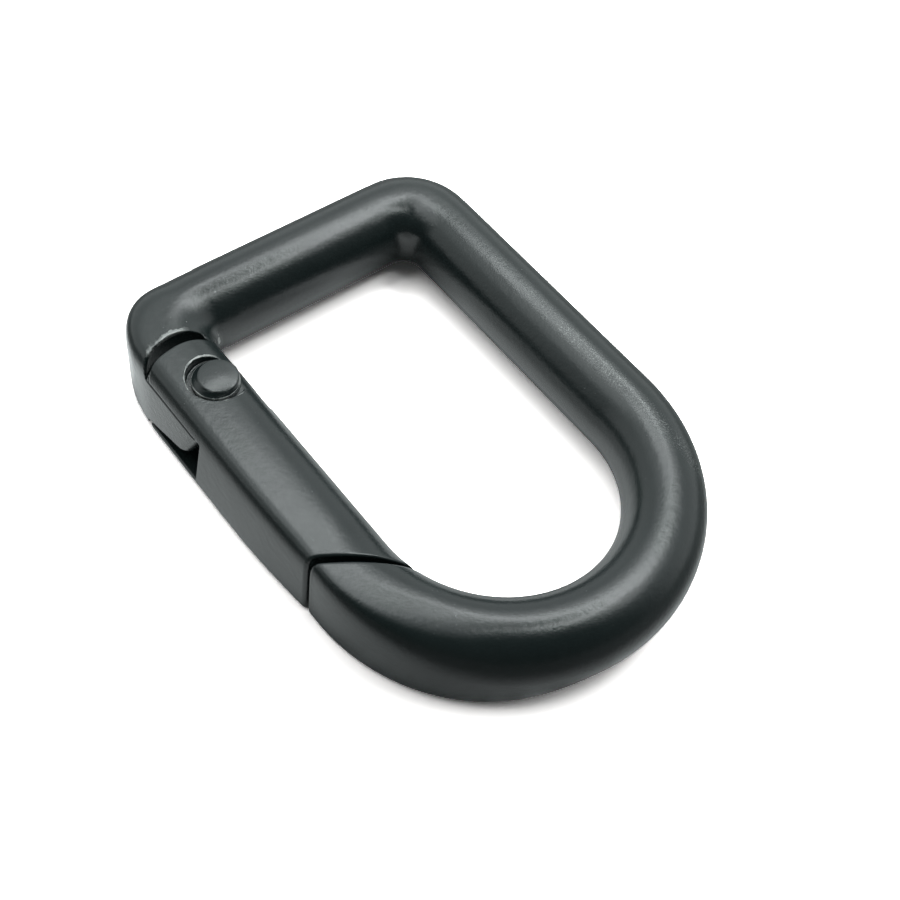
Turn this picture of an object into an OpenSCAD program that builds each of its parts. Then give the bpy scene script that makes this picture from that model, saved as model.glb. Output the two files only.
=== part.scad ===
// D-shaped snap hook: a cast metal ring with one flat end, closed on one side by a
// sprung gate that swings inward about a headed pin.
// The hook lies flat. X runs from the flat end to the round end, the gate is on the -Y
// side, and the origin is under the middle of the hook, on the surface that it lies on.

/* [Ring] */
// Length over all, from the flat end to the round end
hook_length = 48; // [46:0.5:52]
// Width over all, from the straight leg to the gate
hook_width = 34.5; // [34:0.1:36]
// Width of the cast wire, seen from above
wire_width = 6.7; // [6.4:0.1:7]
// Height of the cast wire
wire_height = 7.8; // [7.6:0.1:8.2]
// Outer radius of the two corners at the flat end
corner_radius = 6.3; // [5.6:0.1:7]
// Inner radius of the same two corners
corner_inner_radius = 1.2; // [0.8:0.1:1.6]

/* [Gate side] */
// How far the foot of the gate side swells outward
side_flare = 0.7; // [0.4:0.1:0.9]
// How far the top of the gate side swells outward
side_bow = 0.2; // [0:0.1:0.4]
// Squareness of the upper edge where gate and nose meet, 2 is a round wire
nose_squareness = 6; // [3:0.5:8]
// Squareness of the upper edge at the hinge
hinge_squareness = 4; // [2.5:0.5:6]
// Squareness of the lower edge
foot_squareness = 9; // [5:0.5:10]
// Angle of the round end over which the square edges fade
fade_angle = 65; // [45:5:80]

/* [Gate] */
// Distance of the hinge axis from the flat end
pivot_from_end = 12.3; // [12:0.1:12.6]
// Distance of the hinge axis from the middle of the wire, towards the opening
pivot_inset = 0.3; // [0.2:0.1:0.4]
// Distance of the joint with the nose from the flat end, on the outer side
joint_from_end = 30; // [29:0.1:31]
// Slant of that joint from square across
joint_slant = 32; // [26:1:34]
// Gap of that joint
joint_gap = 0.45; // [0.2:0.05:0.5]

/* [Tongue] */
// Height of the tongue's upper face
tongue_top = 5.75; // [5.5:0.05:5.9]
// Height of the tongue's lower face on the hinge axis
tongue_bottom = 2.1; // [1.9:0.05:2.3]
// Rise of the tongue's lower face towards its tip, in degrees
tongue_rise = 15.5; // [12:0.5:17]
// Thickness of the gate's lower ear
lower_ear = 0.9; // [0.7:0.05:1]
// Gap between the tongue and the upper ear
ear_gap = 0.15; // [0.1:0.05:0.2]

/* [Pin] */
// Radius of the pin's shank
pin_radius = 1.1; // [0.9:0.05:1.2]
// Radius of the pin's domed head
head_radius = 1.85; // [1.7:0.05:1.9]
// Radius of the sunk seat round that head
seat_radius = 2.35; // [2.3:0.05:2.5]
// Depth of that seat below the top of the wire
seat_depth = 0.85; // [0.7:0.05:1]
// How far the head stands above the top of the wire
head_rise = 0.1; // [0:0.02:0.2]

/* [Hidden] */
finish = [0.13, 0.14, 0.14];
pin_finish = [0.17, 0.18, 0.18];

// Steps of the swept ring
section_sides = 32;
bend_step = 5;
corner_step = 10;

// Plan of the ring: the straight leg touches +Y and the swollen foot touches -Y. The
// foot's rounded edge shows this share of the swell.
foot_share = 0.867;
half_wire = wire_width / 2;
half_height = wire_height / 2;
ring_radius = (hook_width - foot_share * side_flare) / 2;
ring_y = hook_width / 2 - ring_radius;
inner_radius = ring_radius - wire_width;
middle_radius = ring_radius - half_wire;
end_x = -hook_length / 2;
bend_x = hook_length / 2 - ring_radius;
corner_x = end_x + corner_radius;
corner_y = ring_radius - corner_radius;
inner_corner_x = end_x + wire_width + corner_inner_radius;
inner_corner_y = inner_radius - corner_inner_radius;
pivot_x = end_x + pivot_from_end;
pivot_y = ring_y - middle_radius + pivot_inset;
joint_x = end_x + joint_from_end;
joint_y = ring_y - ring_radius;
flare_start = end_x + 3;
flare_rise = 6;
flare_end = joint_x + 0.6;
flare_fall = 10;

// The slot in the gate that takes the tongue, its end wall leaning as it was cast
slot_wall_x = 3.7;
slot_wall_lean = 6;
tongue_end_gap = 0.25;
tongue_tip_x = 3.45;
tongue_tip_lean = 27;
lowest_roof = 1.05;
swing_limit = 29;

// The ears end in a flat arc with its inner corner rounded off
ear_arc_radius = 10.8;
ear_end_x = 4.4;
ear_corner_radius = 5.1;
ear_corner_y = -0.6;
recess_radius = 4.9;
recess_x = -0.6;
recess_y = -0.45;

// Pin: it turns freely in the tongue and is held by the gate's ears
shank_play = 0.05;
press_play = 0.02;
head_play = 0.02;
dome_radius = 7;
foot_base = 0.1;
reach = 40;
round_sides = 120;

function ease(t) = let(c = max(0, min(1, t))) c * c * (3 - 2 * c);
function mix(a, b, t) = a + (b - a) * t;
function polar(centre, radius, angle) = centre + radius * [cos(angle), sin(angle)];

// The gate side swells outward between the hinge corner and the nose
function swell(x) =
    ease((x - flare_start) / flare_rise) * sin(90 * max(0, min(1, (flare_end - x) / flare_fall)));

function side_squareness(x) =
    mix(hinge_squareness, nose_squareness, ease((x - corner_x) / (joint_x - corner_x)));

// A station is one cross-section: inner and outer point, and the outer side's upper and
// lower squareness
function side_station(x) = [
    [x, ring_y - inner_radius],
    [x, ring_y - ring_radius],
    side_squareness(x),
    foot_squareness];

function bend_station(angle) = [
    polar([bend_x, ring_y], inner_radius, angle),
    polar([bend_x, ring_y], ring_radius, angle),
    mix(nose_squareness, 2, ease((angle + 90) / fade_angle)),
    mix(foot_squareness, 2, ease((angle + 90) / (fade_angle + 15)))];

function corner_station(angle, side, square) = [
    polar([inner_corner_x, ring_y + side * inner_corner_y], corner_inner_radius, angle),
    polar([corner_x, ring_y + side * corner_y], corner_radius, angle),
    mix(2, hinge_squareness, square),
    mix(2, foot_squareness, square)];

function frame_stations() = concat(
    [for (x = [joint_x - 3 : 2 : joint_x]) side_station(x)],
    [for (angle = [-90 : bend_step : 90]) bend_station(angle)],
    [for (angle = [90 : corner_step : 180]) corner_station(angle, 1, 0)],
    [for (angle = [180 : corner_step : 270]) corner_station(angle, -1, ease((angle - 180) / 70))],
    [for (x = [pivot_x - 3.6 : 1.5 : pivot_x + 3.9]) side_station(x)]);

function gate_stations() = concat(
    [for (x = [pivot_x - 5.1 : 1.7 : bend_x - 0.6]) side_station(x)],
    [for (angle = [-90 : bend_step : -65]) bend_station(angle)]);

// A section is elliptical towards the opening. On the gate side its outer half is squarer
// and leans outward to the foot.
function section_point(station, k) = let(
    c = cos(360 * k / section_sides),
    s = sin(360 * k / section_sides),
    power = c < 0.0001 ? 1 : 2 / (s > 0 ? station[2] : station[3]),
    z = half_height * (1 + sign(s) * (abs(s) < 0.0001 ? 0 : pow(abs(s), power))),
    middle = (station[0] + station[1]) / 2,
    lean = station[1][1] < -ring_radius / 2
        ? mix(side_flare, side_bow, z / wire_height) * swell(station[1][0]) : 0,
    edge = c > 0 ? station[1] - [0, lean] : station[0],
    plan = mix(middle, edge, abs(c) < 0.0001 ? 0 : pow(abs(c), power)))
    [plan[0], plan[1], z];

module sweep(stations) {
    rings = len(stations);
    points = [for (station = stations, k = [0 : section_sides - 1]) section_point(station, k)];
    walls = [for (i = [0 : rings - 2], k = [0 : section_sides - 1])
        let(a = i * section_sides + k,
            b = i * section_sides + (k + 1) % section_sides)
        each [[a, b, a + section_sides], [b, b + section_sides, a + section_sides]]];
    first = [for (k = [section_sides - 1 : -1 : 0]) k];
    last = [for (k = [0 : section_sides - 1]) (rings - 1) * section_sides + k];
    polyhedron(points = points, faces = concat(walls, [first, last]), convexity = 6);
}

// One side of the slanted joint, set back by a gap
module beside_joint(side, gap) {
    translate([joint_x, joint_y, -1]) rotate([0, 0, -joint_slant])
        translate([side > 0 ? gap : -gap - 12, -4, 0]) cube([12, 15, wire_height + 2]);
}

// Everything on the round-end side of a plane that leans over the hinge axis
module beyond_wall(x, z, lean, turn) {
    translate([pivot_x, pivot_y, z]) rotate([0, 0, turn]) translate([x, 0, 0])
        rotate([0, lean, 0]) translate([0, -reach, -reach]) cube([reach, 2 * reach, 2 * reach]);
}

module pivot_cylinder(radius, low, high) {
    translate([pivot_x, pivot_y, low])
        cylinder(r = radius, h = high - low, $fn = round_sides);
}

// Everything below a plane that rises towards the tongue's tip
module below_tongue(low) {
    translate([pivot_x, pivot_y, low]) rotate([0, -tongue_rise, 0])
        translate([-reach, -reach, -reach]) cube([2 * reach, 2 * reach, reach]);
}

module recess(low, high) {
    translate([pivot_x + recess_x, pivot_y + recess_y, low])
        cylinder(r = recess_radius, h = high - low, $fn = round_sides);
    translate([pivot_x, pivot_y - reach / 2, low]) cube([reach, reach, high - low]);
}

// Room for the gate's ears above and below the tongue, and the shape of its tip
module hinge_cuts() {
    recess(tongue_top, wire_height + 1);
    recess(-1, lowest_roof);
    intersection() {
        recess(-1, tongue_top - 1);
        below_tongue(tongue_bottom);
    }
    beyond_wall(slot_wall_x - tongue_end_gap, tongue_top, slot_wall_lean, 0);
    beyond_wall(slot_wall_x - tongue_end_gap, tongue_top, slot_wall_lean, swing_limit);
    beyond_wall(tongue_tip_x, tongue_top, tongue_tip_lean, 0);
}

module frame() {
    color(finish) difference() {
        sweep(frame_stations());
        beside_joint(-1, 0);
        intersection() {
            hinge_cuts();
            translate([pivot_x - 8, pivot_y - 8, -2]) cube([16, 13, wire_height + 4]);
        }
        pivot_cylinder(pin_radius + shank_play, -1, wire_height + 1);
    }
}

// The shape that the two ears keep at their free end
module ear_outline() {
    intersection() {
        translate([pivot_x - ear_end_x + ear_arc_radius, pivot_y, -2])
            cylinder(r = ear_arc_radius, h = wire_height + 4, $fn = 3 * round_sides);
        translate([pivot_x, pivot_y + ear_corner_y, -2])
            cylinder(r = ear_corner_radius, h = wire_height + 4, $fn = round_sides);
    }
}

module gate() {
    color(finish) difference() {
        sweep(gate_stations());
        beside_joint(1, -joint_gap);
        difference() {
            translate([pivot_x - 9, pivot_y - 9, -1]) cube([9, 18, wire_height + 2]);
            ear_outline();
        }
        // Slot for the tongue
        difference() {
            translate([pivot_x - 9, pivot_y - 9, lower_ear])
                cube([18, 18, tongue_top + ear_gap - lower_ear]);
            beyond_wall(slot_wall_x, tongue_top, slot_wall_lean, 0);
        }
        pivot_cylinder(seat_radius, wire_height - seat_depth, wire_height + 1);
        pivot_cylinder(pin_radius + press_play, -1, wire_height + 1);
    }
}

module hinge_pin() {
    color(pin_finish) union() {
        pivot_cylinder(pin_radius, foot_base, wire_height - seat_depth + head_play);
        intersection() {
            pivot_cylinder(head_radius, wire_height - seat_depth + head_play, wire_height + 1);
            translate([pivot_x, pivot_y, wire_height + head_rise - dome_radius])
                sphere(r = dome_radius, $fn = round_sides);
        }
    }
}

frame();
gate();
hinge_pin();
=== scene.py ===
# %% [markdown]
# # A D-shaped snap hook in satin black
#
# The hook is cast from zinc alloy in two pieces: the ring, which ends in a tongue at the
# hinge and in a blunt nose at the gap, and the gate, which closes that gap. A headed pin
# joins them. All three wear a thin satin black coat.
#
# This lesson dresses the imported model. The hinge, the gap and the motion come from the
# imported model, and Blender adds the soft cast edges, the coat, the wear and the light.

# %% Load the frame
import math

import bmesh
import bpy
import numpy as np
from mathutils import Matrix, Vector


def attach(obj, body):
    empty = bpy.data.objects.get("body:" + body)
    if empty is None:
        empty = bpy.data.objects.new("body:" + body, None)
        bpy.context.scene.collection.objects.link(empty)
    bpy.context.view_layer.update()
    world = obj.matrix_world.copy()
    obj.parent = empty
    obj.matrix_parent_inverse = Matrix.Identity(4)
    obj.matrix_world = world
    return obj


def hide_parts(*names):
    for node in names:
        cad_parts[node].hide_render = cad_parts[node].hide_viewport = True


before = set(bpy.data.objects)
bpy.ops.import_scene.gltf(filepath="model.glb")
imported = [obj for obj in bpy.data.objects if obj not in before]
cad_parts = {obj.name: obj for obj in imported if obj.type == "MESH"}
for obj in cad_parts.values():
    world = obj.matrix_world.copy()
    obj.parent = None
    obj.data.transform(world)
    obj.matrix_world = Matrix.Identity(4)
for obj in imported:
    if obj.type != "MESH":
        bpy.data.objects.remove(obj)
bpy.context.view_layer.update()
scene = bpy.context.scene

# Blender works in metres. The cells that shape the metal work in millimetres.
TO_MM = 1000

# %% [markdown]
# ## The camera
#
# The photograph looks down on the hook from the side of the round end and the gate. The
# camera's place was found by matching the outline of the ring, so its place, its
# directions and its lens are written down as they came out. The rest follows from them.

# %% Camera
CAMERA_PLACE = Vector((0.0446342, -0.0450534, 0.0909275))
CAMERA_RIGHT = Vector((0.618793, 0.779164, 0.099994))
CAMERA_UP = Vector((-0.677621, 0.465037, 0.569711))
CAMERA_LENS = 53.4736


def aimed(place, right, up):
    """A matrix that stands at place and has these two directions."""
    turn = Matrix((right, up, right.cross(up))).transposed().to_4x4()
    return Matrix.Translation(place) @ turn


camera = bpy.data.objects.new("camera", bpy.data.cameras.new("camera"))
scene.collection.objects.link(camera)
camera.matrix_world = aimed(CAMERA_PLACE, CAMERA_RIGHT, CAMERA_UP)
camera.data.lens = CAMERA_LENS
camera.data.sensor_width = 36
camera.data.clip_start, camera.data.clip_end = 0.005, 20
scene.camera = camera
print("camera at", tuple(round(v, 3) for v in CAMERA_PLACE))

# %% [markdown]
# ## The floor
#
# The photograph is a bright product picture. Its floor was lifted to plain white, so only
# the contact shadow shows, while the black coat still mirrors the real, dimmer floor and
# a dark room on the side of the camera. Two boards stand for that. The camera sees a wide
# The card is no lamp, yet it glows: its tone is a painted reflection of the floor, worked
# out point by point, because the walls of the ring show the floor right beside them. It
# carries painted shade at the ring's edge, along the inner walls and in two inner corners,
# and a painted patch of shade and a painted pool of light close to the hook.

# %% Sizes of the card
# The ring's footprint in millimetres: where its corners and its bend start, and their radii
FOOT_CORNER_X, FOOT_CORNER_Y, FOOT_CORNER = -17.7, 10.65, 6.3
FOOT_BEND_X, FOOT_BEND = 7.05, 16.95
# The walls inside it, and the inner corners at the far end and at the hinge
BAR_WALL, LEG_WALL, GATE_WALL = -17.3, 10.55, -9.95
FAR_CORNER, HINGE_CORNER = (-17, 10.3), (-17, -9.7)

# Tones of the painted reflection close to the hook, far from it, and far from it on our side
# of the compass
CARD_NEAR, CARD_FAR, CARD_FRONT, OUR_COMPASS = 0.77, 0.32, 0.12, 300
# The share of that which is left right at the ring's edge, under painted contact shade
CONTACT_SHADE_LEFT = 0.3
# A patch of painted shade and a pool of painted light close to the hook: compass, reach and
# strength
PAINTED_SHADE_COMPASS, PAINTED_SHADE_REACH, PAINTED_SHADE_DEPTH = 322, 60, 0.42
PAINTED_LIGHT_COMPASS, PAINTED_LIGHT_REACH, PAINTED_LIGHT_LIFT = 211, 33, 1.5
# In the ring: the tone right at a wall, a little off it, and at its brightest, each with
# its change for a millimetre. The dim tones at the walls are painted contact shade.
FOOT_TONE, FOOT_RISE = 0.25, 1.2
WALL_TONE, WALL_RISE = 0.7, 0.13
CARD_IN_RING, RING_FALL = 1.4, 0.08
print("footprint:", FOOT_BEND_X + FOOT_BEND - FOOT_CORNER_X + FOOT_CORNER, "mm long")


# %% Tones of the card
def share(value, low, high):
    """Where a value lies between two limits, from 0 to 1."""
    return min(max((value - low) / (high - low), 0), 1)


def tent(compass, middle, reach):
    """1 in the middle direction, falling to 0 at its reach."""
    return max(0, 1 - abs(compass - middle) / reach)


def past_footprint(x, y):
    """How far a place on the floor lies outside the ring's footprint."""
    if x >= FOOT_BEND_X:
        return math.hypot(x - FOOT_BEND_X, y) - FOOT_BEND
    side, end = max(abs(y) - FOOT_CORNER_Y, 0), max(FOOT_CORNER_X - x, 0)
    return math.hypot(side, end) - FOOT_CORNER


def painted_tone_round_ring(x, y, outside):
    """The painted reflection outside the ring: bright close to the hook and fading with
    distance, with painted shade and light near it.
    """
    compass = math.degrees(math.atan2(y, x)) % 360
    facing_us = 0.5 + 0.5 * math.cos(math.radians(compass - OUR_COMPASS))
    distant = CARD_FAR + (CARD_FRONT - CARD_FAR) * facing_us
    # A painted patch of shade and a painted pool of light, by compass
    close = CARD_NEAR - PAINTED_SHADE_DEPTH * tent(compass, PAINTED_SHADE_COMPASS, PAINTED_SHADE_REACH)
    close = close + PAINTED_LIGHT_LIFT * tent(compass, PAINTED_LIGHT_COMPASS, PAINTED_LIGHT_REACH) ** 2
    # Painted contact shade right at the ring's edge
    close = close * (CONTACT_SHADE_LEFT + (1 - CONTACT_SHADE_LEFT) * share(outside, 0, 0.8))
    fade = share(outside, 2, 11)
    return close + (distant - close) * fade * fade * (3 - 2 * fade)


def painted_tone_in_ring(x, y):
    """Inside the ring the painted reflection is dimmed by painted shade at the walls, in two
    corners and towards the round end.
    """
    from_wall = max(min(x - BAR_WALL, LEG_WALL - y, y - GATE_WALL), 0)
    tone = max(CARD_IN_RING - RING_FALL * from_wall, WALL_TONE)
    tone = min(tone, WALL_TONE + WALL_RISE * from_wall, FOOT_TONE + FOOT_RISE * from_wall)
    # Painted shade in the far and the hinge corner
    tone = tone * max(share(math.dist((x, y), FAR_CORNER), 0, 6.2), 0.1)
    tone = tone * max(share(math.dist((x, y), HINGE_CORNER), -0.5, 3.0), 0.3)
    tone = tone * (1 + 0.15 * share(y, 3, 7))
    return tone * (1 - 0.5 * share(x, 6, 11))


def painted_reflection_tone(x, y):
    """How bright the coat sees the floor at this place, in millimetres: a painted reflection
    with painted shade and light.
    """
    outside = past_footprint(x, y)
    tone = painted_tone_round_ring(x, y, outside)
    return tone + (painted_tone_in_ring(x, y) - tone) * share(-outside, 0, 5)


print("card's tone in the ring:", round(painted_reflection_tone(0, 0), 2), "and far off:", CARD_FAR)

# %% Floor
FLOOR_REACH = 3.0
FLOOR_TONE, FLOOR_TONE_SEEN = (0.78, 0.78, 0.78, 1), (2.35, 2.19, 2.17, 1)


def add_board(name, mesh):
    """A flat board, which isn't part of the hook."""
    board = bpy.data.objects.new(name, mesh)
    scene.collection.objects.link(board)
    return board


def board_paint(name):
    """An empty material for a board, with its nodes and its links."""
    paint = bpy.data.materials.new(name)
    paint.use_nodes = True
    paint.node_tree.nodes.clear()
    return paint, paint.node_tree.nodes, paint.node_tree.links


def lay_floor():
    """The white board that the camera sees."""
    r = FLOOR_REACH
    mesh = bpy.data.meshes.new("floor")
    mesh.from_pydata([(-r, -r, 0), (r, -r, 0), (r, r, 0), (-r, r, 0)], [], [(0, 1, 2, 3)])
    paint, nodes, links = board_paint("white_board")
    matt, output = nodes.new("ShaderNodeBsdfDiffuse"), nodes.new("ShaderNodeOutputMaterial")
    ray, tones = nodes.new("ShaderNodeLightPath"), nodes.new("ShaderNodeMix")
    tones.data_type = "RGBA"
    tones.inputs["A"].default_value = FLOOR_TONE
    tones.inputs["B"].default_value = FLOOR_TONE_SEEN
    links.new(ray.outputs["Is Camera Ray"], tones.inputs["Factor"])
    links.new(tones.outputs["Result"], matt.inputs["Color"])
    links.new(matt.outputs["BSDF"], output.inputs["Surface"])
    mesh.materials.append(paint)
    board = add_board("floor", mesh)
    board.visible_glossy = False
    return board


floor = lay_floor()
print(floor.name, "reaches", FLOOR_REACH, "m each way")

# %% Card
LAMP_COLOUR = (0.94, 1.0, 1.0)
CARD_STEPS, CARD_LIFT = 90, 0.00002
# Half the width of the even middle of the card, and how much further its edge lies
CARD_MIDDLE, CARD_REACH = 0.035, 0.4


def lay_card():
    """The glowing board that only the coat sees: no lamp, but a painted reflection of the
    floor. Its squares are finest near the hook.
    """
    turns = [2 * k / CARD_STEPS - 1 for k in range(CARD_STEPS + 1)]
    lines = [CARD_MIDDLE * t + CARD_REACH * t**9 for t in turns]
    row = CARD_STEPS + 1
    mesh = bpy.data.meshes.new("card")
    mesh.from_pydata(
        [(x, y, CARD_LIFT) for y in lines for x in lines],
        [],
        [
            (j * row + i, j * row + i + 1, (j + 1) * row + i + 1, (j + 1) * row + i)
            for j in range(CARD_STEPS)
            for i in range(CARD_STEPS)
        ],
    )
    # Each point keeps its painted tone: reflection, shade and light
    tones = mesh.attributes.new("tone", "FLOAT", "POINT")
    for k, vertex in enumerate(mesh.vertices):
        tones.data[k].value = painted_reflection_tone(vertex.co.x * TO_MM, vertex.co.y * TO_MM)
    paint, nodes, links = board_paint("painted_reflection_card")
    # The card glows with that painted tone, though it is no lamp
    glow, output = nodes.new("ShaderNodeEmission"), nodes.new("ShaderNodeOutputMaterial")
    tone = nodes.new("ShaderNodeAttribute")
    tone.attribute_name = "tone"
    glow.inputs["Color"].default_value = (*LAMP_COLOUR, 1)
    links.new(tone.outputs["Fac"], glow.inputs["Strength"])
    links.new(glow.outputs["Emission"], output.inputs["Surface"])
    mesh.materials.append(paint)
    board = add_board("card", mesh)
    board.visible_camera = board.visible_diffuse = board.visible_shadow = False
    return board


card = lay_card()
print(card.name, "has", len(card.data.polygons), "squares")

# %% [markdown]
# ## The lamps
#
# The coat shows the lamps as soft bands, and each band is the mirror image of one lamp, so
# the lamps were placed by tracing the bands back to the plane where they hang. They are
# soft boxes close above the hook, mostly behind it, and they leave the space straight
# overhead dim. Narrow ones give the bright bands along the straight leg and the bar, and
# wide, dim ones fill the space between them. A lamp's brightness is given apart from its
# size, so that a box can grow and keep its look.

# %% Light
LAMP_HEIGHT = 170

# Name, x and y of the middle, width and depth in millimetres, brightness
LAMPS = [
    ("far_tube", -7, 78, 118, 18, 11.5),
    ("far_box", 10, 104, 85, 34, 6.0),
    ("right_box", 50, 42, 32, 56, 6.5),
    ("left_tube", -88, 24, 43, 84, 4.6),
    ("middle_tube", -27, -18, 20, 68, 2.2),
    ("left_box", -60, 10, 84, 190, 1.65),
    ("back_box", -23, 142, 250, 56, 1.1),
    ("far_left_box", -93, 100, 60, 50, 1.6),
    ("side_box", -171, 45, 60, 295, 0.8),
    ("corner_box", 96, 96, 56, 56, 2.3),
    ("front_box", -68, -125, 100, 80, 1.4),
]


def hang_lamp(name, x, y, width, depth, brightness, height):
    """A soft box that faces the floor and looks equally bright from anywhere."""
    lamp = bpy.data.lights.new(name, "AREA")
    lamp.shape = "RECTANGLE"
    lamp.size, lamp.size_y = width / TO_MM, depth / TO_MM
    lamp.energy = brightness * lamp.size * lamp.size_y * math.pi
    lamp.color = LAMP_COLOUR
    box = bpy.data.objects.new(name, lamp)
    scene.collection.objects.link(box)
    box.location = (x / TO_MM, y / TO_MM, height / TO_MM)
    box.visible_camera = False


# Each lamp hangs a millimetre above the one before it, so that no two share a plane.
for k, row in enumerate(LAMPS):
    hang_lamp(*row, LAMP_HEIGHT + k)
print(len(LAMPS), "lamps")

# %% [markdown]
# ## The room
#
# The room is white on its far side and nearly black on the side of the camera, with a
# soft change between them. That keeps the walls that face us dark, as satin black looks in
# a product picture, while the camera itself sees plain white round the floor.

# %% World
NEAR_TONE = (0.038, 0.042, 0.042, 1)
FAR_TONE = (0.98, 1.04, 1.04, 1)
FAR_COMPASS = math.radians(147)
DUSK_START, DUSK_END = -0.50, 0.10

world = bpy.data.worlds.new("studio")
scene.world = world
world.use_nodes = True
nodes, links = world.node_tree.nodes, world.node_tree.links
view, split = nodes.new("ShaderNodeTexCoord"), nodes.new("ShaderNodeVectorMath")
split.operation = "DOT_PRODUCT"
split.inputs[1].default_value = (math.cos(FAR_COMPASS), math.sin(FAR_COMPASS), 0)
facing, ramp = nodes.new("ShaderNodeMapRange"), nodes.new("ShaderNodeMix")
facing.interpolation_type = "SMOOTHSTEP"
facing.inputs["From Min"].default_value = DUSK_START
facing.inputs["From Max"].default_value = DUSK_END
ramp.data_type = "RGBA"
ramp.inputs["A"].default_value = NEAR_TONE
ramp.inputs["B"].default_value = FAR_TONE
seen, white = nodes.new("ShaderNodeLightPath"), nodes.new("ShaderNodeMix")
white.data_type = "RGBA"
white.inputs["B"].default_value = (1, 1, 1, 1)
links.new(view.outputs["Generated"], split.inputs[0])
links.new(split.outputs["Value"], facing.inputs["Value"])
links.new(facing.outputs["Result"], ramp.inputs["Factor"])
links.new(ramp.outputs["Result"], white.inputs["A"])
links.new(seen.outputs["Is Camera Ray"], white.inputs["Factor"])
links.new(white.outputs["Result"], nodes["Background"].inputs["Color"])
scene.view_settings.view_transform = "Standard"
print("room:", NEAR_TONE[:3], "on our side,", FAR_TONE[:3], "on the far side")

# %% [markdown]
# ## The form of the wire
#
# Seen from above, the ring is a D, and its wire is an oval. On the gate side the outer
# half is squarer, and its foot flares. A mesh modelled by hand would need many cuts round
# the hinge, and its highlights would ripple. Here each casting is instead described by a
# formula that says how far a point lies outside the metal. A dense copy of the packed
# node is then settled onto that formula, so that every highlight runs clean and each
# edge gets the small radius that a cast and tumbled part has.
#
# All sizes in these cells are in millimetres.

# %% Sizes of the wire
# The D: its middle line, the start of its round end, and the radii of that end
RING_Y, BEND_X = 0.30345, 7.05345
RING_RADIUS, INNER_RADIUS = 16.94655, 10.24655
# Its flat end and corners. The upper half of the far inner corner is rounder.
FLAT_END, OUTER_CORNER, INNER_CORNER, TOP_CORNER = -24.0, 6.3, 1.2, 2.1
CORNER_X = FLAT_END + OUTER_CORNER
CORNER_Y = RING_Y - RING_RADIUS + OUTER_CORNER
WIRE_WIDTH, WIRE_HEIGHT = 6.7, 7.8
HALF_HEIGHT = WIRE_HEIGHT / 2
# The hinge's axis, and the slanted joint between the gate and the nose
PIVOT_X, PIVOT_Y = -11.7, -12.9931
JOINT_X, JOINT_Y, JOINT_GAP = 6.0, -16.6431, 0.45
JOINT_SLANT = math.radians(32)
print("wire", WIRE_WIDTH, "by", WIRE_HEIGHT, "mm, corners", OUTER_CORNER, "mm")


# %% Helpers for smooth forms
def ease(t):
    """Runs from 0 to 1 with a soft start and a soft end."""
    t = np.clip(t, 0, 1)
    return t * t * (3 - 2 * t)


def mix(a, b, t):
    return a + (b - a) * t


def cut_away(metal, removed, radius):
    """Takes a shape out of the metal and rounds the edge between them."""
    corner = np.hypot(np.maximum(metal + radius, 0), np.maximum(removed + radius, 0))
    return np.minimum(np.maximum(metal, removed), -radius) + corner


def within_both(a, b, radius):
    """The space that two shapes share, with a fillet where they meet."""
    return -cut_away(-a, -b, radius)


def measured(form, *point):
    """How far a form lies from one point, to print."""
    return abs(round(float(form(*np.array(point, dtype=float)[:, None])[0]), 2))


print("half way, ease gives", measured(ease, 0.5))

# %% Plan of the ring
# Inside a D, the nearest wall changes along a crease. This softens it.
CREASE = 4


def depth_inside(x, y, radius, corner, left):
    """How deep a point lies inside a D with this round end and these corners."""
    across = np.abs(y - RING_Y)
    side, end = across - (radius - corner), left + corner - x
    round_corner = np.hypot(np.maximum(side, 0), np.maximum(end, 0))
    overlap = np.maximum(CREASE - np.abs(side - end), 0)
    nearest = np.maximum(side, end) + overlap**2 / (4 * CREASE)
    box = corner - round_corner - np.minimum(nearest, 0)
    return np.where(x > BEND_X, radius - np.hypot(x - BEND_X, across), box)


def whole_ring(x, y):
    return depth_inside(x, y, RING_RADIUS, OUTER_CORNER, FLAT_END)


print("the middle of the ring lies", measured(whole_ring, 0, RING_Y), "mm deep")

# %% [markdown]
# ## The section of the wire
#
# A superellipse can be a plain oval or nearly a box, and one power says which. On the gate
# side the power grows round the corner and along the gate, and falls again round the
# bend, separately for the upper half and for the foot. The crest of the gate and of the
# nose also lies outside the middle of the wire, which moves their highlight outward.

# %% Sizes of the section
# Powers of the section: 2 is an oval, and a high power is nearly a box.
OVAL, SQUARE_FOOT = 2, 12
TOP_AT_HINGE, TOP_AT_MIDDLE, TOP_AT_NOSE = 4.6, 5.9, 5.4
CREST_AT_HINGE, CREST_AT_NOSE = 1.1, 1.7
# The gate side is square by this many degrees round the corner. Its upper half and its
# foot are oval again by these many degrees round the bend.
SQUARE_BY, TOP_OVAL_BY, FOOT_OVAL_BY = 70, 55, 80
# The gate side changes from this x on, over these lengths.
GATE_START_X, POWER_RUN, CREST_RUN, FLARE_RUN = -21, 14, 5, 6
# The crest shifts below this y, more from this x on, and until so far round the bend.
CREST_Y, CREST_X, CREST_GONE_BY = -7, 3.5, 32
# How much the foot and the top stand out, and the x and length where that fades
FOOT_FLARE, TOP_BOW, FLARE_END_X, FLARE_FADE = 0.7, 0.2, 6.6, 10
print("powers:", OVAL, "for an oval,", TOP_AT_MIDDLE, "and", SQUARE_FOOT, "on the gate side")


# %% Section of the wire
def round_bend(x, y):
    """Degrees round the round end, from the gate side."""
    return np.degrees(np.arctan2(x - BEND_X, RING_Y - y))


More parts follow.
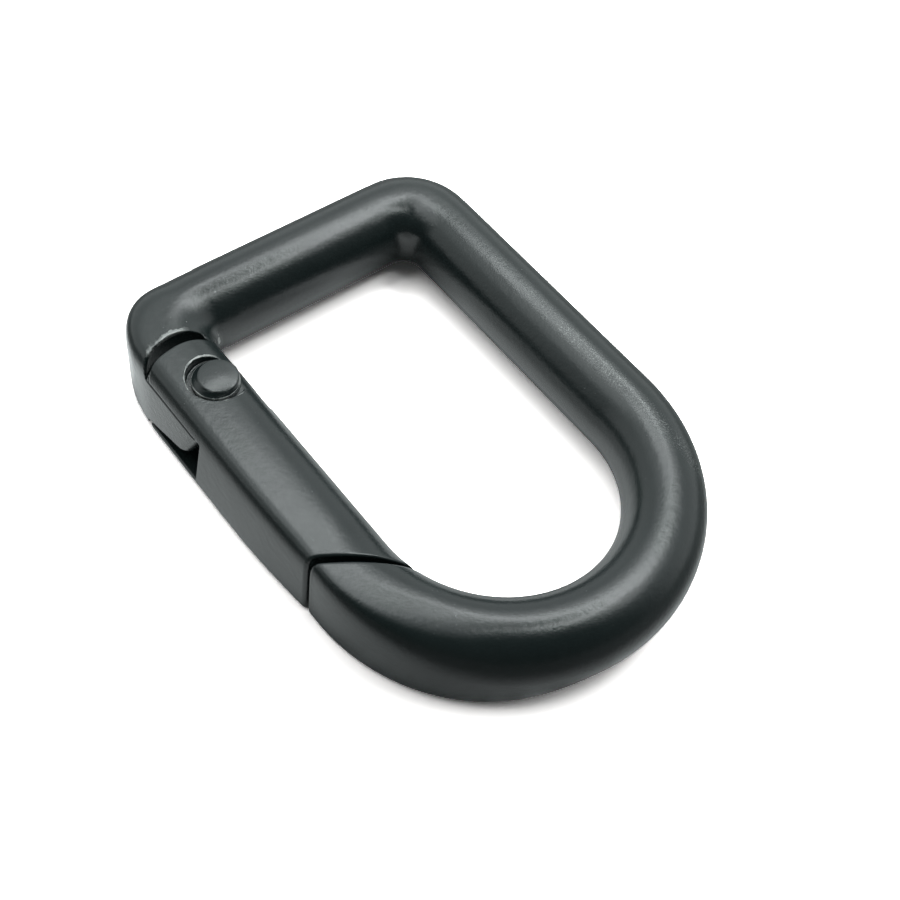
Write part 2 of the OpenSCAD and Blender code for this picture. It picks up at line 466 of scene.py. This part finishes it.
def squareness(x, y, z):
    """How square the outer half of the wire is on the gate side."""
    turn = ease(np.degrees(np.arctan2(CORNER_Y - y, CORNER_X - x)) / SQUARE_BY)
    bend = round_bend(x, y)
    along = mix(TOP_AT_HINGE, TOP_AT_MIDDLE, ease((x - CORNER_X) / POWER_RUN))
    along = along - (TOP_AT_MIDDLE - TOP_AT_NOSE) * ease(x / BEND_X)
    upper = np.where(x < CORNER_X, mix(OVAL, TOP_AT_HINGE, turn), along)
    foot = np.where(x < CORNER_X, mix(OVAL, SQUARE_FOOT, turn), SQUARE_FOOT)
    rounding = mix(TOP_AT_NOSE, OVAL, ease(bend / TOP_OVAL_BY))
    upper = np.where(x > BEND_X, rounding, upper)
    rounding = mix(SQUARE_FOOT, OVAL, ease(bend / FOOT_OVAL_BY))
    foot = np.where(x > BEND_X, rounding, foot)
    return np.where(z > HALF_HEIGHT, upper, foot)


def crest_shift(x, y):
    """How far the crest of the gate and the nose lies outside the middle of the wire."""
    shift = mix(CREST_AT_HINGE, CREST_AT_NOSE, ease((x - CREST_X) / 3))
    shift = shift * ease((x - GATE_START_X) / CREST_RUN)
    fading = 1 - ease(round_bend(x, y) / CREST_GONE_BY)
    shift = shift * np.where(x > BEND_X, fading, 1.0)
    return np.where(y < CREST_Y, shift, 0.0)


def wire(x, y, z):
    """Distance outside the bare wire of the ring."""
    outer = whole_ring(x, y)
    corner = mix(INNER_CORNER, TOP_CORNER, ease((z - HALF_HEIGHT) / 3) * (y > RING_Y))
    inner = -depth_inside(x, y, INNER_RADIUS, corner, FLAT_END + WIRE_WIDTH)
    half, across = (inner + outer) / 2, (inner - outer) / 2

    # The gate side leans outward, most at its foot.
    fading = np.clip((FLARE_END_X - x) / FLARE_FADE, 0, 1)
    swell = ease((x - GATE_START_X) / FLARE_RUN) * np.sin(np.pi / 2 * fading)
    lean = mix(FOOT_FLARE, TOP_BOW, z / WIRE_HEIGHT) * swell * (y < RING_Y)
    bow = whole_ring(x, y + lean) - outer
    shift = crest_shift(x, y) * ease((z - HALF_HEIGHT) / 2.5)
    across = across - shift
    width = np.where(across > 0, half + bow - shift, half + shift)

    # The section's own size at this point, where 1 is on the surface
    inward = OVAL + 0.2 * np.minimum(shift, 1)
    power = np.where((y < RING_Y) & (across > 0), squareness(x, y, z), inward)
    u, w = np.abs(across) / width, np.abs(z - HALF_HEIGHT) / HALF_HEIGHT
    size = np.maximum((u**power + w**power) ** (1 / power), 1e-6)
    steep_u = (u / size) ** (power - 1) / width
    steep_w = (w / size) ** (power - 1) / HALF_HEIGHT
    return (size - 1) / np.hypot(steep_u, steep_w)


print("over the middle of the bar:", measured(wire, FLAT_END + WIRE_WIDTH / 2, 0.3, 9), "mm")

# %% [markdown]
# ## The two castings
#
# The ring's free ends differ. At the hinge it thins to a tongue that lies in a slot of the
# gate. At the other end it is cut off at a slant, and the gate's tip follows that slant.
# Each end is the wire with some shapes cut away, and every cut rounds its own edge.

# %% Sizes of the ring's ends
# The ring's two free ends lie below this y, and this x parts them.
ENDS_Y, HALFWAY_X = -5, -3.0
# The rounding of the nose's cut, and the bore for the pin
NOSE_EDGE, BORE_RADIUS = 0.3, 1.15
# The tongue: its top, its reach past the hinge, how its end leans, and how far it swings
TONGUE_TOP, TONGUE_REACH, WALL_LEAN, TIP_LEAN = 5.75, 3.45, 6, 27
SWING = math.radians(29)
# Under the tongue: the slope of its underside, and the two levels of the metal below it
TONGUE_RISE, RISE_FOOT = math.radians(15.5), 2.1
TONGUE_FOOT, TONGUE_LIP = 1.05, 4.75
# The recess for the gate's ears, whose inner end is snug
RECESS_X, RECESS_Y, RECESS_RADIUS = 0.6, 0.45, 4.9
SNUG_Y, SNUG_RADIUS, SNUG_FROM = 0.6, 5.17, 1.9
print("tongue", round(TONGUE_TOP - TONGUE_FOOT, 2), "mm thick, reaching", TONGUE_REACH, "mm")


# %% Form of the ring
def past_joint(x, y):
    """Distance past the slanted joint, towards the round end."""
    return (x - JOINT_X) * math.cos(JOINT_SLANT) - (y - JOINT_Y) * math.sin(JOINT_SLANT)


def past_wall(x, z, place, lean):
    """Distance past a wall that leans over the tongue."""
    s = math.radians(lean)
    return (x - place) * math.cos(s) - (z - TONGUE_TOP) * math.sin(s)


def tongue_end(metal, px, py, z):
    """What lies past the tongue's rounded end, which clears the slot as the gate swings."""
    swung = px * math.cos(SWING) + py * math.sin(SWING)
    at_rest = past_wall(px, z, TONGUE_REACH, WALL_LEAN)
    end = cut_away(at_rest, past_wall(swung, z, TONGUE_REACH, WALL_LEAN), 0.1)
    end = cut_away(end, past_wall(px, z, TONGUE_REACH, TIP_LEAN), 0.2)
    return cut_away(metal, end, 1.0)


def ears_recess(px, py):
    """Depth inside the recess that the gate's ears turn in."""
    snug = np.hypot(px, py + SNUG_Y) - SNUG_RADIUS - 3 * np.maximum(SNUG_FROM - py, 0)
    pocket = np.maximum(np.hypot(px + RECESS_X, py + RECESS_Y) - RECESS_RADIUS, snug)
    return -np.minimum(pocket, -px)


def ring_form(x, y, z):
    """Distance outside the ring."""
    metal = wire(x, y, z)
    px, py = x - PIVOT_X, y - PIVOT_Y
    nose = cut_away(metal, -past_joint(x, y), NOSE_EDGE)

    recess = ears_recess(px, py)
    under = (RISE_FOOT + math.tan(TONGUE_RISE) * px - z) * math.cos(TONGUE_RISE)
    under = np.minimum(within_both(recess, under, 0.1), TONGUE_LIP - z)
    tongue = cut_away(metal, within_both(recess, z - TONGUE_TOP, 0.1), 0.09)
    tongue = cut_away(tongue, within_both(recess, TONGUE_FOOT - z, 0.1), 0.12)
    tongue = cut_away(tongue, under, 0.12)
    tongue = cut_away(tongue, tongue_end(metal, px, py, z), 0.15)
    tongue = cut_away(tongue, BORE_RADIUS - np.hypot(px, py), 0.05)

    at_hinge = (y < ENDS_Y) & (x < HALFWAY_X) & (py < 5)
    at_nose = (y < ENDS_Y) & (x > HALFWAY_X)
    return np.where(at_hinge, tongue, np.where(at_nose, nose, metal))


print("tongue's bore:", measured(ring_form, PIVOT_X, PIVOT_Y, 3), "mm")

# %% [markdown]
# ## The gate
#
# The gate is a fork at the hinge, with a thick ear above the tongue and a thin one below
# it. The upper ear has a sunk seat for the pin's head. The joint with the nose is a gap of
# 0.45 mm that narrows at both walls, where the photograph shows only a thin dark line.

# %% Form of the gate
# The joint's gap narrows by these amounts at the outer and the inner wall.
OUTER_NARROWING, INNER_NARROWING = 0.22, 0.12
TIP_EDGE, EAR_EDGE = 0.22, 0.2
# The ears end where two arcs cross.
EAR_ARC_X, EAR_ARC, EAR_RADIUS_Y, EAR_RADIUS = 6.4, 10.8, 0.6, 5.1
# The seat for the pin's head, the slot for the tongue, and the bore for the pin
SEAT_RADIUS, SEAT_FLOOR = 2.33, 6.95
SLOT_FLOOR, SLOT_ROOF, SLOT_WALL = 0.95, 5.97, 3.7
PIN_BORE = 1.12


def gate_form(x, y, z):
    """Distance outside the gate."""
    px, py = x - PIVOT_X, y - PIVOT_Y
    from_axis = np.hypot(px, py)
    gap = JOINT_GAP - OUTER_NARROWING * ease((-15.6 - y) / 1.4)
    gap = gap - INNER_NARROWING * ease((y + 12.5) / 1.5)
    metal = cut_away(wire(x, y, z), past_joint(x, y) + gap, TIP_EDGE)
    wide_arc = np.hypot(px - EAR_ARC_X, py) - EAR_ARC
    ear = cut_away(wide_arc, np.hypot(px, py + EAR_RADIUS_Y) - EAR_RADIUS, EAR_EDGE)
    metal = cut_away(metal, np.minimum(ear, -px), EAR_EDGE)
    slot = within_both(z - SLOT_FLOOR, SLOT_ROOF - z, 0.1)
    slot = within_both(slot, -past_wall(px, z, SLOT_WALL, WALL_LEAN), 0.15)
    metal = cut_away(metal, slot, 0.12)
    seat = within_both(SEAT_RADIUS - from_axis, z - SEAT_FLOOR, 0.1)
    metal = cut_away(metal, seat, 0.1)
    return cut_away(metal, PIN_BORE - from_axis, 0.05)


print("gate's lower bore:", measured(gate_form, PIVOT_X, PIVOT_Y, 0.5), "mm")

# %% [markdown]
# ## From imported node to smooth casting
#
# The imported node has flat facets. A voxel remesh turns it into an even skin of small
# quads, whatever its faces were. Each vertex then slides along the slope of the formula
# until it lies on the true surface. A decimate step spends the triangles where the form
# bends, and a last settling puts them back on the surface. The normals come from the
# same slope, so the shading is smooth where the metal is and crisp at its edges.

# %% Settle a skin onto a form
# How far off the slope is probed, the least slope that is believed, and the longest step
PROBE, LEAST_SLOPE, LONGEST_STEP = 0.01, 0.3, 0.12


def slope_of(form, points):
    """Gradient of a form at each point."""
    slope = np.zeros_like(points)
    for axis in range(3):
        step = np.zeros(3)
        step[axis] = PROBE
        slope[:, axis] = (form(*(points + step).T) - form(*(points - step).T)) / (2 * PROBE)
    return slope


def settle(points, form, rounds, furthest=LONGEST_STEP):
    """Moves each point onto the surface, in a few short steps."""
    for _ in range(rounds):
        slope = slope_of(form, points)
        steep = np.maximum((slope**2).sum(axis=1), LEAST_SLOPE)
        step = np.clip(form(*points.T) / steep, -furthest, furthest)
        points = points - step[:, None] * slope
    return points


def even_out(points, edges):
    """Moves each point half way towards the middle of its neighbours."""
    count = np.bincount(edges.ravel(), minlength=len(points))
    total = np.zeros_like(points)
    for axis in range(3):
        total[:, axis] = np.bincount(
            edges[:, 0], points[edges[:, 1], axis], len(points)
        ) + np.bincount(edges[:, 1], points[edges[:, 0], axis], len(points))
    return mix(points, total / np.maximum(count, 1)[:, None], 0.5)


test_point = settle(np.array([[0.0, 13.5, 8.1]]), wire, 3)
print("a point over the leg settles", measured(wire, *test_point[0]), "mm from the metal")


# %% Skin of a node
def read_points(mesh):
    flat = np.empty(len(mesh.vertices) * 3)
    mesh.vertices.foreach_get("co", flat)
    return flat.reshape(-1, 3)


def write_points(mesh, points):
    mesh.vertices.foreach_set("co", points.ravel())
    mesh.update()


def read_edges(mesh):
    flat = np.empty(len(mesh.edges) * 2, dtype=np.int64)
    mesh.edges.foreach_get("vertices", flat)
    return flat.reshape(-1, 2)


def with_modifier(mesh, kind, **settings):
    """The mesh after one modifier."""
    carrier = bpy.data.objects.new("carrier", mesh)
    scene.collection.objects.link(carrier)
    modifier = carrier.modifiers.new(kind, kind)
    for key, value in settings.items():
        setattr(modifier, key, value)
    graph = bpy.context.evaluated_depsgraph_get()
    made = bpy.data.meshes.new_from_object(carrier.evaluated_get(graph))
    bpy.data.objects.remove(carrier)
    bpy.data.meshes.remove(mesh)
    return made


def copy_in_mm(node):
    """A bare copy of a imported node's mesh, in millimetres."""
    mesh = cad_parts[node].data.copy()
    mesh.transform(Matrix.Scale(TO_MM, 4))
    mesh.materials.clear()
    return mesh


print("packed ring:", len(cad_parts["frame"].data.polygons), "facets")


# %% Cast a piece
def cast(name, node, form, voxel, triangles):
    """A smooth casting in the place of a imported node."""
    mesh = with_modifier(copy_in_mm(node), "REMESH", mode="VOXEL", voxel_size=voxel)
    points, edges = settle(read_points(mesh), form, rounds=3), read_edges(mesh)
    for _ in range(2):
        points = settle(even_out(points, edges), form, rounds=1)
    write_points(mesh, points)
    quads = len(mesh.polygons)
    mesh = with_modifier(mesh, "DECIMATE", ratio=min(1.0, triangles / (2 * quads)))
    points = settle(read_points(mesh), form, rounds=2, furthest=0.05)
    write_points(mesh, points)
    slope = slope_of(form, points)
    normals = slope / np.linalg.norm(slope, axis=1)[:, None]
    mesh.transform(Matrix.Scale(1 / TO_MM, 4))
    mesh.shade_smooth()
    mesh.normals_split_custom_set_from_vertices(normals)
    mesh.name = name
    casting = bpy.data.objects.new(name, mesh)
    scene.collection.objects.link(casting)
    print(name, len(mesh.vertices), "vertices", len(mesh.polygons), "faces")
    return casting


ring = cast("ring_casting", "frame", ring_form, voxel=0.14, triangles=180000)
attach(ring, "frame")
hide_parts("frame")

gate = cast("gate_casting", "gate", gate_form, voxel=0.09, triangles=160000)
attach(gate, "gate")
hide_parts("gate")

# %% [markdown]
# ## The hinge pin
#
# The pin is turned, then pressed through the gate's ears, and its head sits in the sunk
# seat. A turned part is best made as it is in the workshop: a profile, spun round its
# axis. The head is a low cap with a full round shoulder, and it stands on a thin flange
# whose rim catches the light. The cap sits a little off the axis, as it does on the real
# hook, so the turned rings above the flange are shifted by that much.

# %% Profile of the pin
# The shank and its rounded foot, the flange and its two edges, and the cap with its dome
SHANK_RADIUS, SHANK_FOOT, FOOT_ROUNDING = 1.1, 0.1, 0.2
FLANGE_RADIUS, FLANGE_TOP, FLANGE_FOOT_EDGE, FLANGE_EDGE = 1.92, 7.38, 0.05, 0.07
CAP_RADIUS, CAP_SHOULDER, CAP_SLOPE = 1.68, 0.22, 45
HEAD_FOOT, HEAD_TOP, DOME_RADIUS = 6.97, 7.95, 9.5


def arc(radius, height, bend, start, end, steps):
    """Points round a bend of the profile, from one angle to another."""
    turns = [math.radians(start + (end - start) * k / steps) for k in range(steps + 1)]
    return [(radius + bend * math.cos(t), height + bend * math.sin(t)) for t in turns]


def pin_profile():
    """Radius and height from the foot of the shank to the top of the head."""
    line = [(0.0, SHANK_FOOT), (0.6, SHANK_FOOT)]
    edge = FOOT_ROUNDING
    line += arc(SHANK_RADIUS - edge, SHANK_FOOT + edge, edge, -90, 0, 6)
    line += [(SHANK_RADIUS, h) for h in (2.0, 4.0, 6.0, HEAD_FOOT)]
    edge = FLANGE_FOOT_EDGE
    line += arc(FLANGE_RADIUS - edge, HEAD_FOOT + edge, edge, -90, 0, 4)
    edge = FLANGE_EDGE
    line += arc(FLANGE_RADIUS - edge, FLANGE_TOP - edge, edge, 0, 80, 6)

    # The cap's dome, and the shoulder that meets it smoothly
    lean = math.asin((CAP_RADIUS - CAP_SHOULDER) / (DOME_RADIUS - CAP_SHOULDER))
    dome = HEAD_TOP - DOME_RADIUS
    centre = dome + (DOME_RADIUS - CAP_SHOULDER) * math.cos(lean)
    turn_end = 90 - math.degrees(lean)
    shoulder = arc(CAP_RADIUS - CAP_SHOULDER, centre, CAP_SHOULDER, CAP_SLOPE, turn_end, 14)
    for part in (0.1, 0.5, 0.9):
        line.append(tuple(a + (b - a) * part for a, b in zip(line[-1], shoulder[0])))
    line += shoulder
    line += arc(0, dome, DOME_RADIUS, turn_end, 90, 10)[1:-1]
    return line + [(0.0, HEAD_TOP)]


print("profile:", len(pin_profile()), "points, head", 2 * FLANGE_RADIUS, "mm wide")

# %% Turn the pin
PIN_SIDES = 96
# How far the cap sits off the axis, and the height over which it gets there
CAP_SHIFT_X, CAP_SHIFT_Y, SHIFT_HEIGHT = 0.06, 0.21, 0.3


def turn_on_lathe(name, profile, sides):
    """Spins a profile round the hinge axis. Above the flange, the axis shifts."""
    shape = bmesh.new()
    rings = []
    for radius, height in profile:
        shifted = share(height - FLANGE_TOP, 0, SHIFT_HEIGHT)
        x, y = PIVOT_X + CAP_SHIFT_X * shifted, PIVOT_Y + CAP_SHIFT_Y * shifted
        turns = [2 * math.pi * k / sides for k in range(sides if radius > 1e-6 else 1)]
        rings.append(
            [
                shape.verts.new((x + radius * math.cos(t), y + radius * math.sin(t), height))
                for t in turns
            ]
        )
    for low, high in zip(rings, rings[1:]):
        for k in range(sides):
            j = (k + 1) % sides
            if len(low) == 1:
                shape.faces.new((low[0], high[k], high[j]))
            elif len(high) == 1:
                shape.faces.new((low[k], low[j], high[0]))
            else:
                shape.faces.new((low[k], low[j], high[j], high[k]))
    bmesh.ops.recalc_face_normals(shape, faces=shape.faces)
    mesh = bpy.data.meshes.new(name)
    shape.to_mesh(mesh)
    shape.free()
    mesh.transform(Matrix.Scale(1 / TO_MM, 4))
    mesh.shade_smooth()
    turned = bpy.data.objects.new(name, mesh)
    scene.collection.objects.link(turned)
    print(name, len(mesh.vertices), "vertices")
    return turned


pin = turn_on_lathe("hinge_pin_turned", pin_profile(), PIN_SIDES)
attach(pin, "gate")
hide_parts("hinge_pin")

# %% [markdown]
# ## The satin black coat
#
# The coat is a thin baked paint, nearly black with a cool tint. Close up it isn't even: a
# fine grain breaks up the highlights, and a faint mottle changes its tone and its gloss.
# A smooth shader with one colour would look like plastic, so the grain comes from two
# sizes of noise that feed a bump, and the mottle from a third, much larger one. They make
# one node group, which each coat uses with its own strength.

# %% Helpers for node groups
FLOAT, VECTOR = "NodeSocketFloat", "NodeSocketVector"


def new_group(name, inputs, outputs):
    """An empty node group with named inputs and outputs."""
    group = bpy.data.node_groups.new(name, "ShaderNodeTree")
    for label, kind, value in inputs:
        socket = group.interface.new_socket(label, in_out="INPUT", socket_type=kind)
        socket.default_value = value
    for label, kind in outputs:
        group.interface.new_socket(label, in_out="OUTPUT", socket_type=kind)
    source = group.nodes.new("NodeGroupInput")
    target = group.nodes.new("NodeGroupOutput")
    return group, source, target


def noise(group, vector, scale, detail, roughness):
    """A noise texture. Its scale is in waves to the metre."""
    node = group.nodes.new("ShaderNodeTexNoise")
    node.inputs["Scale"].default_value = scale
    node.inputs["Detail"].default_value = detail
    node.inputs["Roughness"].default_value = roughness
    group.links.new(vector, node.inputs["Vector"])
    return node.outputs["Fac"]


def curve(group, value, low, high, out_low=0.0, out_high=1.0):
    """Spreads a value from one range over another."""
    node = group.nodes.new("ShaderNodeMapRange")
    for key, number in zip(
        ("From Min", "From Max", "To Min", "To Max"), (low, high, out_low, out_high)
    ):
        node.inputs[key].default_value = number
    group.links.new(value, node.inputs["Value"])
    return node.outputs["Result"]


def maths(group, operation, *terms):
    """One sum in a group. Each term is a number or the output of a node."""
    node = group.nodes.new("ShaderNodeMath")
    node.operation = operation
    for socket, term in zip(node.inputs, terms):
        if isinstance(term, (int, float)):
            socket.default_value = term
        else:
            group.links.new(term, socket)
    return node.outputs["Value"]


def vector_maths(group, operation, first, second):
    node = group.nodes.new("ShaderNodeVectorMath")
    node.operation = operation
    group.links.new(first, node.inputs[0])
    group.links.new(second, node.inputs[1])
    return node.outputs["Vector"]


def split_vector(group, vector):
    """The x, y and z of a vector."""
    node = group.nodes.new("ShaderNodeSeparateXYZ")
    group.links.new(vector, node.inputs["Vector"])
    return node.outputs["X"], node.outputs["Y"], node.outputs["Z"]


print("group sockets:", FLOAT, "and", VECTOR)

# %% Grain group
COARSE_SHARE = 1.6
grain, grain_in, grain_out = new_group(
    "fine_grain",
    [("Place", VECTOR, (0, 0, 0)), ("Strength", FLOAT, 1.0)],
    [("Height", FLOAT), ("Mottle", FLOAT)],
)
place = grain_in.outputs["Place"]
fine = noise(grain, place, scale=6000, detail=3, roughness=0.6)
coarse = noise(grain, place, scale=1700, detail=3, roughness=0.6)
height = maths(grain, "MULTIPLY_ADD", coarse, COARSE_SHARE, fine)
height = maths(grain, "MULTIPLY", height, grain_in.outputs["Strength"])
mottle = noise(grain, place, scale=260, detail=4, roughness=0.6)
grain.links.new(height, grain_out.inputs["Height"])
grain.links.new(mottle, grain_out.inputs["Mottle"])
print("group", grain.name, "with", len(grain.nodes), "nodes")

# %% [markdown]
# ## Worn rims and a painted highlight
#
# Where an edge stands up, the coat is rubbed through and bare zinc shows as a thin,
# ragged, bright line: round the recess at the hinge, round the seat, and round the flange
# of the pin's head. The same bright line, laid only on the front shoulder of the pin's cap,
# is a painted highlight. All of these are parts of circles that lie flat. So the group
# measures how far a point is from one circle, lets the line's width and strength wander
# with noise, and hides everything that lies too far below the rim. It puts out a mask
# only, so that the coat can lay several rims over each other. A chip is a rim with no
# radius.

# %% Worn rim and painted highlight group
rim, rim_in, rim_out = new_group(
    "worn_rim_and_painted_highlight",
    [
        ("Place", VECTOR, (0, 0, 0)),
        ("Middle", VECTOR, (0, 0, 0)),
        ("Radius", FLOAT, 0.002),
        ("Width", FLOAT, 0.0001),
        ("Amount", FLOAT, 1.0),
    ],
    [("Mask", FLOAT)],
)
place = rim_in.outputs["Place"]
offset = vector_maths(rim, "SUBTRACT", place, rim_in.outputs["Middle"])
off_x, off_y, off_z = split_vector(rim, offset)
squares = maths(
    rim, "ADD", maths(rim, "MULTIPLY", off_x, off_x), maths(rim, "MULTIPLY", off_y, off_y)
)
from_middle = maths(rim, "SQRT", squares)
from_rim = maths(
    rim, "ABSOLUTE", maths(rim, "SUBTRACT", from_middle, rim_in.outputs["Radius"])
)

ragged = noise(rim, place, scale=1300, detail=4, roughness=0.65)
ragged = curve(rim, ragged, 0.42, 0.66, out_low=0.5, out_high=2.4)
reach = maths(rim, "MULTIPLY", rim_in.outputs["Width"], ragged)
near_rim = curve(rim, maths(rim, "DIVIDE", from_rim, reach), 0.5, 1.0, 1.0, 0.0)
on_level = curve(rim, off_z, -0.0005, -0.0002)
patchy = noise(rim, place, scale=700, detail=2, roughness=0.5)
patchy = curve(rim, patchy, 0.36, 0.52, out_low=0.15, out_high=1.0)
mask = maths(rim, "MULTIPLY", maths(rim, "MULTIPLY", near_rim, on_level), patchy)
mask = maths(rim, "MULTIPLY", mask, rim_in.outputs["Amount"])
rim.links.new(mask, rim_out.inputs["Mask"])
print("group", rim.name, "with", len(rim.nodes), "nodes")

# %% [markdown]
# ## Specks
#
# A handled coat shows small bright specks on its upper faces. They are few in most places
# and thick in a rubbed band on the straight leg, just inside its crest. Noise makes both:
# only its highest peaks count elsewhere, and many more of them in the band.

# %% Speck group
# The rubbed band lies along this y, is full and gone at these distances from it, and
# starts at the flat end. Specks show only on the upper faces. All in metres.
RUBBED_Y, RUBBED_FULL, RUBBED_GONE = 0.0133, 0.0002, 0.0009
RUBBED_START, RUBBED_WHOLE = -0.0170, -0.0090
TOP_FROM, TOP_WHOLE = 0.0060, 0.0070

specks, specks_in, specks_out = new_group(
    "specks",
    [("Place", VECTOR, (0, 0, 0)), ("Amount", FLOAT, 1.0)],
    [("Mask", FLOAT)],
)
place = specks_in.outputs["Place"]
at_x, at_y, at_z = split_vector(specks, place)
off_band = maths(specks, "ABSOLUTE", maths(specks, "SUBTRACT", at_y, RUBBED_Y))
on_band = curve(specks, off_band, RUBBED_FULL, RUBBED_GONE, 1.0, 0.0)
along_band = curve(specks, at_x, RUBBED_START, RUBBED_WHOLE)
on_band = maths(specks, "MULTIPLY", on_band, along_band)
on_top = curve(specks, at_z, TOP_FROM, TOP_WHOLE)

rare = noise(specks, place, scale=5000, detail=2, roughness=0.6)
rare = curve(specks, rare, 0.74, 0.80)
common = noise(specks, place, scale=7500, detail=3, roughness=0.7)
common = curve(specks, common, 0.52, 0.66)
patches = noise(specks, place, scale=350, detail=3, roughness=0.6)
patches = curve(specks, patches, 0.40, 0.60, out_low=0.3, out_high=1.0)
rubbed = maths(specks, "MULTIPLY", maths(specks, "MULTIPLY", common, patches), on_band)
mask = maths(specks, "MULTIPLY", maths(specks, "MAXIMUM", rare, rubbed), on_top)
mask = maths(specks, "MULTIPLY", mask, specks_in.outputs["Amount"])
specks.links.new(mask, specks_out.inputs["Mask"])
print("group", specks.name, "with", len(specks.nodes), "nodes")

# %% [markdown]
# ## The coats
#
# Ring, gate and pin wear the same paint, but the gate is a little rougher and the pin a
# little smoother, because each piece is coated on its own. One function makes all three.
# It mixes the tone and the roughness by the mottle, lays bare metal over them where the
# masks say that the coat is worn and where a painted highlight lies on the pin's cap, and
# leaves the shader itself in the material.

# %% Helpers for the coats
def use_group(material, group, **values):
    """Places a node group in a material, with its own values."""
    node = material.node_tree.nodes.new("ShaderNodeGroup")
    node.node_tree = group
    for key, value in values.items():
        node.inputs[key].default_value = value
    return node


def bare_metal_line(x, y, z, radius, width, amount):
    """A bare metal line's middle, radius and width in millimetres, and its amount. At a worn
    rim the amount is how much coat has gone; on the pin's cap the line is a painted
    highlight.
    """
    return {
        "Middle": (x / TO_MM, y / TO_MM, z / TO_MM),
        "Radius": radius / TO_MM,
        "Width": width / TO_MM,
        "Amount": amount,
    }


print("a worn line takes", sorted(bare_metal_line(0, 0, 0, 1, 1, 1)))

# %% Coat
# Bare metal where the coat is worn; the same colour makes the painted highlight on the pin's
# cap.
BARE_METAL_AND_HIGHLIGHT = (0.36, 0.37, 0.36, 1)
WORN_METALLIC, WORN_ROUGHNESS = 0.7, 0.15
GRAIN_BUMP, GRAIN_DEPTH = 0.6, 0.00002


def coat(name, dark, light, smooth, rough, grain_strength, rims, speck_amount):
    """Satin black paint between two tones and two roughnesses, worn through at its rims,
    with any painted highlight that its rim lines lay.
    """
    material = bpy.data.materials.new(name)
    material.use_nodes = True
    tree = material.node_tree
    shader = tree.nodes["Principled BSDF"]
    place = tree.nodes.new("ShaderNodeTexCoord").outputs["Object"]
    texture = use_group(material, grain, Strength=grain_strength)
    tree.links.new(place, texture.inputs["Place"])
    mottle = texture.outputs["Mottle"]
    tone, worn_tone = tree.nodes.new("ShaderNodeMix"), tree.nodes.new("ShaderNodeMix")
    tone.data_type = worn_tone.data_type = "RGBA"
    tone.inputs["A"].default_value = (*dark, 1)
    tone.inputs["B"].default_value = (*light, 1)
    worn_tone.inputs["B"].default_value = BARE_METAL_AND_HIGHLIGHT
    tree.links.new(mottle, tone.inputs["Factor"])

    scatter = use_group(material, specks, Amount=speck_amount)
    tree.links.new(place, scatter.inputs["Place"])
    worn = scatter.outputs["Mask"]
    # The rims add worn metal, and on the pin's cap a painted highlight.
    for sizes in rims:
        edge = use_group(material, rim, **sizes)
        tree.links.new(place, edge.inputs["Place"])
        worn = maths(tree, "MAXIMUM", worn, edge.outputs["Mask"])
    tree.links.new(worn, worn_tone.inputs["Factor"])
    tree.links.new(tone.outputs["Result"], worn_tone.inputs["A"])
    tree.links.new(worn_tone.outputs["Result"], shader.inputs["Base Color"])
    metallic = curve(tree, worn, 0, 1, 0, WORN_METALLIC)
    tree.links.new(metallic, shader.inputs["Metallic"])

    satin = curve(tree, mottle, 0.3, 0.7, out_low=smooth, out_high=rough)
    satin = maths(tree, "ADD", satin, curve(tree, worn, 0, 1, 0, WORN_ROUGHNESS))
    tree.links.new(satin, shader.inputs["Roughness"])
    bump = tree.nodes.new("ShaderNodeBump")
    bump.inputs["Strength"].default_value = GRAIN_BUMP
    bump.inputs["Distance"].default_value = GRAIN_DEPTH
    tree.links.new(texture.outputs["Height"], bump.inputs["Height"])
    tree.links.new(bump.outputs["Normal"], shader.inputs["Normal"])
    return material


print("bare metal", BARE_METAL_AND_HIGHLIGHT[:3], "under a coat with a bump of", GRAIN_BUMP)

# %% Coats of the pieces
DARK, LIGHT = (0.006, 0.010, 0.010), (0.011, 0.016, 0.016)

# Each rim is x, y and z of its middle, then its radius, its width and its amount. The
# nick is a small bright chip on the inner wall by the hinge.
RECESS_RIM = bare_metal_line(PIVOT_X - RECESS_X, PIVOT_Y - RECESS_Y, 7.8, 5.05, 0.2, 0.50)
SEAT_RIM = bare_metal_line(PIVOT_X - 0.07, PIVOT_Y + 0.05, 7.5, 2.40, 0.06, 0.8)
FLANGE_RIM = bare_metal_line(PIVOT_X, PIVOT_Y, 7.4, 1.89, 0.04, 0.5)
# The head's line lies off the axis, so that it falls only on the cap's front shoulder: a
# painted highlight, not wear.
PAINTED_HEAD_HIGHLIGHT = bare_metal_line(PIVOT_X - 1.60, PIVOT_Y + 1.30, 8.1, 3.53, 0.07, 0.45)
NICK = bare_metal_line(-17.2, -9.25, 3.95, 0.0, 0.11, 1.0)

ring_coat = coat("ring_coat", DARK, LIGHT, 0.19, 0.25, 1.0, [RECESS_RIM, NICK], 0.40)
gate_coat = coat("gate_coat", DARK, LIGHT, 0.21, 0.27, 1.0, [SEAT_RIM], 0.30)
pin_coat = coat("pin_coat", DARK, LIGHT, 0.18, 0.24, 0.6, [FLANGE_RIM, PAINTED_HEAD_HIGHLIGHT], 0.15)
for piece, paint in ((ring, ring_coat), (gate, gate_coat), (pin, pin_coat)):
    piece.data.materials.append(paint)
    print(piece.name, "wears", paint.name, "with", len(paint.node_tree.nodes), "nodes")
